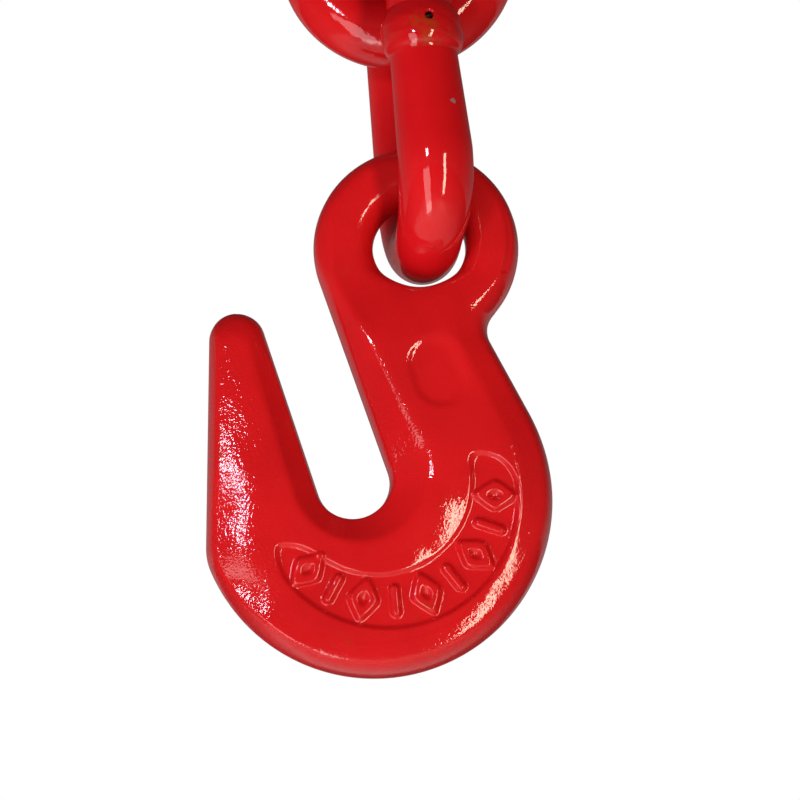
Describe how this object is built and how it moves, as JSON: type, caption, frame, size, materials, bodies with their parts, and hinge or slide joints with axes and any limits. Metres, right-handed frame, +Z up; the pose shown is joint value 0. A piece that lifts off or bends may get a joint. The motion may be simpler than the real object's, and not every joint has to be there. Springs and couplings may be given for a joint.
{
  "type": "chain grab hook with coupling link and eye screw",
  "caption": "Red forged chain grab hook with a narrow slanted slot, hanging on a welded coupling link from the round eye of a short threaded screw.",
  "frame": {"origin": "centre of the flat end of the eye screw's stem", "axes": "+Z up out of the stem's end, along the stem; the hook and the screw's eye lie in the XZ plane, with the hook's mouth towards -X; the link's welded leg is on the -Y side"},
  "size_m": [0.0646, 0.0434, 0.2044],
  "materials": {
    "eye_paint": "gloss red enamel over forged steel",
    "link_paint": "gloss red enamel over round steel bar",
    "weld_paint": "gloss red enamel over an uneven weld",
    "hook_paint": "gloss red enamel over forged steel"
  },
  "bodies": {
    "screw": {"eye_screw": "eye_paint"},
    "link": {"coupling_link": "link_paint", "closing_weld": "weld_paint"},
    "hook": {"grab_hook": "hook_paint"}
  },
  "joints": [
    {"name": "link_swing", "type": "hinge", "parent": "screw", "child": "link", "pos_m": [0.002, 0, -0.07883], "axis": [0.9876, 0.1392, 0.0725], "range_deg": [-80, 80]},
    {"name": "hook_swing", "type": "hinge", "parent": "link", "child": "hook", "pos_m": [0.00522, 0, -0.12261], "axis": [0, 1, 0], "range_deg": [-90, 70]}
  ]
}
